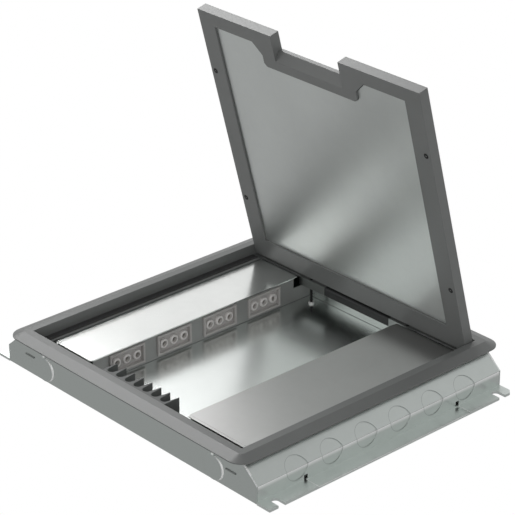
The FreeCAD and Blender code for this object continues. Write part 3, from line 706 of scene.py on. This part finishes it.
@dataclass
class KnockoutMarks:
    """Painted shade lines on the side panels, and highlights and shade tabs on the end walls.

    An end knockout is pressed end_step into its wall, and a painted highlight runs along its
    edge from the angle crescent_from to crescent_to. A grey tab that stands in for the shade
    inside a slot lies slot_depth behind the wall's face.
    The crown is a shade line's section, as shares of its width and height.
    """

    end_spread: float = 248.0 * MM
    end_height: float = 14.0 * MM
    end_radius: float = 12.6 * MM
    end_step: float = 1.2 * MM
    crescent: float = 1.5 * MM
    crescent_from: float = math.radians(-72)
    crescent_to: float = math.radians(82)
    crescent_rise: float = 0.04 * MM
    pry_radius: float = 1.5 * MM
    pry_shift: float = -1.5 * MM
    slot_spread: float = 295.0 * MM
    slot_length: float = 13.6 * MM
    slot_height: float = 19.6 * MM
    slot_width: float = 1.4 * MM
    slot_depth: float = 0.5 * MM
    tab_sheet: float = 0.3 * MM
    side_count: int = 6
    side_pitch: float = 44.0 * MM
    side_radius: float = 13.0 * MM
    line: float = 0.45 * MM
    proud: float = 0.06 * MM
    crown: tuple = ((0.0, 0.2), (0.5, 1.0), (1.0, 0.2))

    def build(self, materials: Materials) -> None:
        """Make the marks on all four walls.

        Args:
            materials: The materials by name.
        """
        self.add_end_marks(materials)
        self.add_slot_shade_tabs(materials)
        self.add_side_lines(materials)

    def end_face(self, end: End) -> float:
        """Return the Y of an end wall's outer face."""
        low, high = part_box("base_pan")
        return low[1] if end is End.COMB else high[1]

    def add_end_marks(self, materials: Materials) -> None:
        """Add the painted highlights on the end knockouts' edges and the glints on their pry tabs.

        Args:
            materials: The materials by name.
        """
        tab = [(0, 0.2 * MM), (self.pry_radius * 0.7, 0.45 * MM), (self.pry_radius, 0.0)]
        height = self.end_height + self.end_radius + self.pry_radius * 0.3
        edges, pry_glints = bmesh.new(), bmesh.new()
        for end in End:
            face = self.end_face(end)
            for x in (-self.end_spread / 2, self.end_spread / 2):
                self.add_crescent_highlight(edges, Vector((x, face, self.end_height)), end)
                middle = Vector((x + self.pry_shift, face - end.value * self.end_step, height))
                place = facing(middle, Vector((0, end.value, 0)))
                turned_ring(pry_glints, tab, place, closed=False)
        # near-white strips: painted highlights on the knockouts' real edges, and a painted glint on each
        # pry tab
        solid("end_knockout_highlights", edges, materials["painted_highlight"], "base")
        solid("end_pry_glints", pry_glints, materials["painted_highlight"], "base")

    def add_slot_shade_tabs(self, materials: Materials) -> None:
        """Add grey tabs behind the end walls' slots as painted shade, each with a sloped end.

        Args:
            materials: The materials by name.
        """
        half, rise = self.slot_length / 2, self.slot_width / 2
        outline = [(-half, -rise), (-half, rise), (half - rise, rise), (half, rise * 0.4),
                   (half, -rise), (0, -rise)]
        tabs = bmesh.new()
        for end in End:
            face = self.end_face(end) - end.value * self.slot_depth
            for side in Side:
                middle = self.slot_spread / 2 * side.value
                for drop, order in ((0.0, 1), (self.tab_sheet, -1)):
                    y = face - end.value * drop
                    tabs.faces.new([tabs.verts.new((middle + x * side.value, y,
                                                    self.slot_height + z))
                                    for x, z in outline[::order]])
        # painted shade: darker steel sheets behind the slots
        solid("end_slot_shade_tabs", tabs, materials["bracket_steel"], "base")

    def add_crescent_highlight(self, mesh: bmesh.types.BMesh, centre: Vector, end: End,
                     steps: int = 28) -> None:
        """Add the painted highlight along one end knockout's edge, widest at its middle.

        Args:
            mesh: The mesh to add to.
            centre: Middle of the knockout's face.
            end: The wall that it is in.
            steps: Divisions along the edge.
        """
        section = ((0.0, 0.0), (0.35, 0.1), (0.75, 0.5), (1.0, 1.0))
        rows = []
        for k in range(steps + 1):
            angle = self.crescent_from + (self.crescent_to - self.crescent_from) * k / steps
            taper = math.sin(math.pi * (k + 0.4) / (steps + 0.8)) ** 0.7
            across = Vector((math.cos(angle) * -end.value, 0, math.sin(angle)))
            points = []
            for share, drop in section:
                out = centre + across * (self.end_radius + self.crescent * taper * share)
                depth = self.end_step * drop - self.crescent_rise * (1 - drop)
                points.append(mesh.verts.new(out - Vector((0, end.value * depth, 0))))
            rows.append(points)
        skin(mesh, rows)

    def add_side_lines(self, materials: Materials) -> None:
        """Add the painted shade along each side's fold and round the rings that cross it.

        Args:
            materials: The materials by name.
        """
        low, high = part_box("side_panel_right")
        pan_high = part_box("base_pan")[1]
        half, rim = pan_high[0], pan_high[2]
        middle = (low[1] + high[1]) / 2
        slope = Vector((-SLOPE_RUN, 0, rim - FOLD_HEIGHT)).normalized()
        lines = bmesh.new()
        for side in Side:
            up = slope * Vector((side.value, 1, 1))
            wall_out = Vector((side.value, 0, 0))
            slope_out = Vector((-up.z, 0, up.x)) * (-side.value)
            for index in range(self.side_count):
                y = middle + self.side_pitch * (index - (self.side_count - 1) / 2)
                centre = Vector((half * side.value, y, FOLD_HEIGHT))
                self.add_half_ring(lines, centre, up, slope_out)
                self.add_half_ring(lines, centre, Vector((0, 0, -1)), wall_out)
            ends = [Vector((half * side.value, y, FOLD_HEIGHT)) for y in (low[1], high[1])]
            raised_strip(lines, ends, Vector((0, 0, -self.line * 0.8)),
                         wall_out * self.proud, self.crown)
        # darker strips: painted shade in the fold's crease and the rings' shallow grooves
        solid("side_groove_shade_lines", lines, materials["groove_shade_line"], "base")

    def add_half_ring(self, mesh: bmesh.types.BMesh, centre: Vector, up: Vector,
                      out: Vector, steps: int = 20) -> None:
        """Add half a ring of painted groove shade on one face beside the fold.

        Args:
            mesh: The mesh to add to.
            centre: Middle of the ring, on the fold.
            up: Direction away from the fold, in the face.
            out: The face's outward direction.
            steps: Divisions along the half ring.
        """
        rows = []
        for k in range(steps + 1):
            angle = math.pi * k / steps
            across = Vector((0, math.cos(angle), 0)) + up * math.sin(angle)
            rows.append([mesh.verts.new(
                centre + across * (self.side_radius + self.line * (share - 0.5))
                + out * self.proud * rise) for share, rise in self.crown])
        skin(mesh, rows)


@dataclass
class HingeSkirt:
    """Angle strip that closes the hinge end between the levelling brackets, in painted shade."""

    sheet: float = 1.2 * MM
    clearance: float = 0.4 * MM
    bend: float = 1.6 * MM
    half_width: float = 46.1 * MM
    face: float = 140.4 * MM
    back: float = 152.3 * MM

    def build(self, materials: Materials) -> None:
        """Make the strip, with a rounded bend between its two legs.

        Args:
            materials: The materials by name.
        """
        low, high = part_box("levelling_brackets")
        foot, top = low[2] + self.clearance, high[2] - self.clearance / 2
        steps = 5
        outer = [(self.face, foot)]
        inner = [(self.face + self.sheet, foot)]
        centre = (self.face + self.bend + self.sheet / 2, top - self.bend - self.sheet / 2)
        for k in range(steps + 1):
            angle = math.pi / 2 * k / steps
            for row, radius in ((outer, self.bend + self.sheet / 2),
                                (inner, self.bend - self.sheet / 2)):
                row.append((centre[0] - radius * math.cos(angle),
                            centre[1] + radius * math.sin(angle)))
        outer.append((self.back, top))
        inner.append((self.back, top - self.sheet))
        section = outer + list(reversed(inner))
        skirt = bmesh.new()
        ends = [[skirt.verts.new((x, y, z)) for y, z in section]
                for x in (-self.half_width, self.half_width)]
        count, half = len(section), len(outer)
        for k in range(count):
            after = (k + 1) % count
            skirt.faces.new([ends[0][k], ends[0][after], ends[1][after], ends[1][k]])
        for verts in ends:
            for k in range(half - 1):
                skirt.faces.new([verts[k], verts[k + 1], verts[count - 2 - k],
                                 verts[count - 1 - k]])
        # near-black finish: painted shade at the hinge end
        solid("hinge_shade_skirt", skirt, materials["hinge_shade_polymer"], "frame")


@dataclass
class CoverTongues:
    """Folded tongues at both ends of the covers, over the gap to the frame's ledge."""

    sheet: float = 0.9 * MM
    drop: float = 0.12 * MM
    front_reach: float = 3.1 * MM
    back_reach: float = 5.6 * MM
    lap: float = 0.05 * MM
    inset: float = 0.6 * MM
    round_off: float = 1.5 * MM

    def build(self, materials: Materials) -> None:
        """Make two tongues on each cover.

        Args:
            materials: The materials by name.
        """
        for side, finish in ((Side.LEFT, "cover_steel"), (Side.RIGHT, "shaded_cover_steel")):
            row = side.name.lower()
            low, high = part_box(f"cover_plate_{row}")
            tongues = bmesh.new()
            left, right, top = low[0] + self.inset, high[0] - self.inset, high[2] - self.drop
            self.add_tongue(tongues, left, right, low[1] - self.lap, -self.front_reach, top)
            self.add_tongue(tongues, left, right, high[1] + self.lap, self.back_reach, top)
            solid(f"cover_tongues_{row}", tongues, materials[finish], "base")

    def add_tongue(self, mesh: bmesh.types.BMesh, left: float, right: float, start: float,
                   reach: float, top: float) -> None:
        """Add one tongue with rounded corners at its free end.

        Args:
            mesh: The mesh to add to.
            left: Its lowest X.
            right: Its highest X.
            start: Y where it leaves the cover.
            reach: How far it reaches along Y, negative toward the comb end.
            top: Height of its upper face.
        """
        steps, bend = 4, self.round_off
        way, length = math.copysign(1, reach), abs(reach)
        outline = [(left, start)]
        for centre, first in ((left + bend, math.pi), (right - bend, math.pi / 2)):
            for k in range(steps + 1):
                angle = first - math.pi / 2 * k / steps
                outline.append((centre + bend * math.cos(angle),
                                start + way * (length - bend + bend * math.sin(angle))))
        outline.append((right, start))
        upper = [mesh.verts.new((x, y, top)) for x, y in outline]
        lower = [mesh.verts.new((x, y, top - self.sheet)) for x, y in outline]
        mesh.faces.new(upper)
        mesh.faces.new(list(reversed(lower)))
        for k, first in enumerate(upper):
            after = (k + 1) % len(upper)
            mesh.faces.new([first, lower[k], lower[after], upper[after]])


@dataclass
class LugHighlights:
    """Painted highlights on the fixing lugs' sheared edges, at their inner ends and outside."""

    length: float = 60.1 * MM
    lug_top: float = 2.7 * MM
    sheet: float = 1.5 * MM
    width: float = 0.7 * MM
    outer_width: float = 0.9 * MM
    foot_gap: float = 0.6 * MM
    proud: float = 0.08 * MM
    crown: tuple = ((0.0, 0.2), (0.2, 0.9), (0.8, 1.0), (1.0, 0.1))

    def build(self, materials: Materials) -> None:
        """Make the highlight strips on both sides.

        Args:
            materials: The materials by name.
        """
        low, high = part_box("side_panel_right")
        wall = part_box("base_pan")[1][0]
        edges = bmesh.new()
        inner_front, inner_back = low[1] + self.length, high[1] - self.length
        up = Vector((0, 0, self.proud))
        for side in Side:
            outer, foot = high[0] * side.value, (wall + self.foot_gap) * side.value
            for y, way in ((inner_front, 1), (inner_back, -1)):
                for height, inward in ((self.lug_top, -way), (self.sheet, way)):
                    raised_strip(edges, [Vector((foot, y, height)), Vector((outer, y, height))],
                                 Vector((0, inward * self.width, 0)), up, self.crown)
            along = [Vector((outer, y, self.sheet)) for y in (inner_front, inner_back)]
            raised_strip(edges, along, Vector((-side.value * self.outer_width, 0, 0)), up,
                         self.crown)
        solid("lug_edge_highlights", edges, materials["painted_highlight"], "base")


@dataclass
class FloorSeams:
    """Dark seams round the well's floor, where the walls and socket plates stand."""

    width: float = 0.5 * MM
    proud: float = 0.06 * MM
    crown: tuple = ((0.0, 0.3), (0.3, 1.0), (0.7, 1.0), (1.0, 0.1))
    wall: float = 2.7 * MM

    def build(self, materials: Materials) -> None:
        """Make four thin strips on the floor.

        Args:
            materials: The materials by name.
        """
        low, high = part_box("socket_plate_left")
        pan_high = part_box("base_pan")[1]
        inner, floor = -high[0], low[2]
        front, back = low[1], pan_high[1] - self.wall
        up = Vector((0, 0, self.proud))
        seams = bmesh.new()
        for side in Side:
            ends = [Vector((inner * side.value, y, floor)) for y in (front, back)]
            raised_strip(seams, ends, Vector((-side.value * self.width, 0, 0)), up, self.crown)
        for y, inward in ((front, self.width), (back, -self.width)):
            ends = [Vector((x, y, floor)) for x in (-inner, inner)]
            raised_strip(seams, ends, Vector((0, inward, 0)), up, self.crown)
        solid("floor_seams", seams, materials["seam_line"], "base")


@dataclass
class CornerHighlights:
    """Painted highlights on the end walls' cut edges where they meet the sloping sides.

    Attributes:
        sheet: Width of a highlight strip.
        proud: Its height.
        start: Share of the slope where it starts.
        stop: Share of the slope where it stops.
    """

    sheet: float = 2.0 * MM
    proud: float = 0.2 * MM
    start: float = 0.42
    stop: float = 0.97

    def build(self, materials: Materials) -> None:
        """Make one thin strip on each of the four corners.

        Args:
            materials: The materials by name.
        """
        low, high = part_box("side_panel_right")
        pan_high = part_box("base_pan")[1]
        half = pan_high[0]
        strips = bmesh.new()
        for side in Side:
            for face, inward in ((low[1], 1), (high[1], -1)):
                fold = Vector((half * side.value, face, FOLD_HEIGHT))
                rim = Vector(((half - SLOPE_RUN) * side.value, face, pan_high[2]))
                slope = rim - fold
                out = Vector((slope.z * side.value, 0, abs(slope.x))).normalized()
                foot, top = fold.lerp(rim, self.start), fold.lerp(rim, self.stop)
                across = Vector((0, inward * self.sheet, 0))
                corners = [foot, top, top + across, foot + across]
                base = [strips.verts.new(c) for c in corners]
                raised = [strips.verts.new(c + out * self.proud) for c in corners]
                strips.faces.new(raised)
                strips.faces.new(list(reversed(base)))
                for k in range(4):
                    after = (k + 1) % 4
                    strips.faces.new([base[k], base[after], raised[after], raised[k]])
        solid("corner_edge_highlights", strips, materials["painted_highlight"], "base")


# ---- studio ----------------------------------------------------------------------------

@dataclass
class Studio:
    """Camera, pale floor, graded world and soft lamps.

    The aim point lies aim_right and aim_up from the origin, along the camera's own axes.
    The pale walls pass into the ceiling between wall_top and ceiling_start, and the
    ceiling's own level changes from front to back over ceiling_turn.
    """

    azimuth: float = math.radians(47.66)
    elevation: float = math.radians(25.89)
    distance: float = 2270.3 * MM
    aim_right: float = 3.98 * MM
    aim_up: float = 113.77 * MM
    lens: float = 161.5
    sensor: float = 36.0
    clip: tuple = (0.05, 60.0)
    ceiling_level: float = 0.42
    ceiling_front: float = 0.15
    ceiling_turn: tuple = (-0.5, 0.0)
    wall_top: float = math.radians(37)
    ceiling_start: float = math.radians(47)
    floor_reach: float = 6.0
    floor_drop: float = 0.2 * MM
    floor_grey: float = 0.8
    floor_mirror: float = 0.45
    key_from: tuple = (-1.48, 0.41, 1.68)
    key_size: float = 1.2
    key_power: float = 22.5
    fill_from: tuple = (1.5, -1.6, 0.9)
    fill_size: float = 1.6
    fill_power: float = 3.0
    lamp_aim: tuple = (0.0, 0.0, 0.1)

    def build(self) -> None:
        """Make everything round the object."""
        self.add_camera()
        self.add_world()
        self.add_floor()
        self.add_lamp("key", self.key_from, self.key_size, self.key_power)
        self.add_lamp("fill", self.fill_from, self.fill_size, self.fill_power)

    def add_camera(self) -> None:
        """Place the camera on its bearing and aim it."""
        a, e = self.azimuth, self.elevation
        back = Vector((math.sin(a) * math.cos(e), -math.cos(a) * math.cos(e), math.sin(e)))
        right = Vector((math.cos(a), math.sin(a), 0))
        up = back.cross(right)
        data = bpy.data.cameras.new("camera")
        data.lens, data.sensor_width = self.lens, self.sensor
        data.clip_start, data.clip_end = self.clip
        camera = bpy.data.objects.new("camera", data)
        camera.location = right * self.aim_right + up * self.aim_up + back * self.distance
        camera.rotation_mode = "QUATERNION"
        camera.rotation_quaternion = Matrix((right, up, back)).transposed().to_quaternion()
        bpy.context.collection.objects.link(camera)
        bpy.context.scene.camera = camera

    def add_world(self) -> None:
        """Pale walls and a dimmer ceiling, and plain white behind the object."""
        world = bpy.data.worlds.new("studio")
        n = Nodes(world)
        direction = n.add("SeparateXYZ", {0: n.add("TexCoord").outputs["Generated"]})
        front, back = self.ceiling_turn
        ceiling = n.add("MapRange", {
            "Value": direction.outputs["Y"], "From Min": front, "From Max": back,
            "To Min": self.ceiling_front, "To Max": self.ceiling_level}).outputs[0]
        level = n.add("MapRange", {
            "Value": direction.outputs["Z"], "From Min": math.sin(self.wall_top),
            "From Max": math.sin(self.ceiling_start), "To Min": 1.0,
            "To Max": ceiling}).outputs[0]
        path = n.add("LightPath")
        # the backdrop is white to the camera, and seen through anything clear
        seen = n.add("Math", {0: path.outputs["Is Camera Ray"],
                              1: path.outputs["Is Transmission Ray"]}, operation="MAXIMUM")
        strength = n.add("MapRange", {"Value": seen.outputs[0], "To Min": level, "To Max": 1.0})
        background = n.add("Background", {"Strength": strength.outputs[0]})
        n.add("OutputWorld", {"Surface": background.outputs[0]})
        bpy.context.scene.world = world

    def add_floor(self) -> None:
        """Pale floor: white to the camera, grey in the steel's reflections."""
        mesh = bpy.data.meshes.new("floor")
        reach, low = self.floor_reach, -self.floor_drop
        corners = [(-reach, -reach, low), (reach, -reach, low), (reach, reach, low),
                   (-reach, reach, low)]
        mesh.from_pydata(corners, [], [(0, 1, 2, 3)])
        n = Nodes(bpy.data.materials.new("studio_floor"))
        plain = n.add("BsdfDiffuse", {"Color": grey(self.floor_grey)})
        path = n.add("LightPath")
        direct, mirrored = path.outputs["Is Camera Ray"], path.outputs["Is Glossy Ray"]
        level = n.add("MapRange", {"Value": direct, "To Min": self.floor_mirror})
        glow = n.add("Emission", {"Color": grey(1.0), "Strength": level.outputs[0]})
        seen = n.add("Math", {0: direct, 1: mirrored}, operation="MAXIMUM")
        seen = n.add("Math", {0: seen.outputs[0], 1: path.outputs["Is Transmission Ray"]},
                     operation="MAXIMUM")
        mix = n.add("MixShader", {0: seen.outputs[0], 1: plain.outputs[0], 2: glow.outputs[0]})
        mesh.materials.append(n.finish(mix))
        floor = bpy.data.objects.new("floor", mesh)
        bpy.context.collection.objects.link(floor)

    def add_lamp(self, name: str, place: tuple, size: float, power: float) -> None:
        """Add one soft square lamp aimed at the box.

        Args:
            name: Lamp name.
            place: Position in metres.
            size: Edge length in metres.
            power: Power in watts.
        """
        data = bpy.data.lights.new(name, "AREA")
        data.shape, data.size, data.energy = "SQUARE", size, power
        lamp = bpy.data.objects.new(name, data)
        lamp.location = place
        aim = Vector(self.lamp_aim) - Vector(place)
        lamp.rotation_mode = "QUATERNION"
        lamp.rotation_quaternion = aim.to_track_quat("-Z", "Y")
        bpy.context.collection.objects.link(lamp)


def main() -> None:
    """Build the dressed model and its studio."""
    logging.basicConfig(level=logging.INFO)
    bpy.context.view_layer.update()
    finishes = Finishes()
    materials = finishes.build()
    finishes.dress(materials)
    for fitting in (SocketFittings(), LevellingThreads(), LidScrews(), KnockoutMarks(),
                    HingeSkirt(), CoverTongues(), LugHighlights(), FloorSeams(), CornerHighlights()):
        log.info("building %s", type(fitting).__name__)
        fitting.build(materials)
    Studio().build()
    bpy.context.scene.view_settings.view_transform = "Standard"


if __name__ == "__main__":
    main()
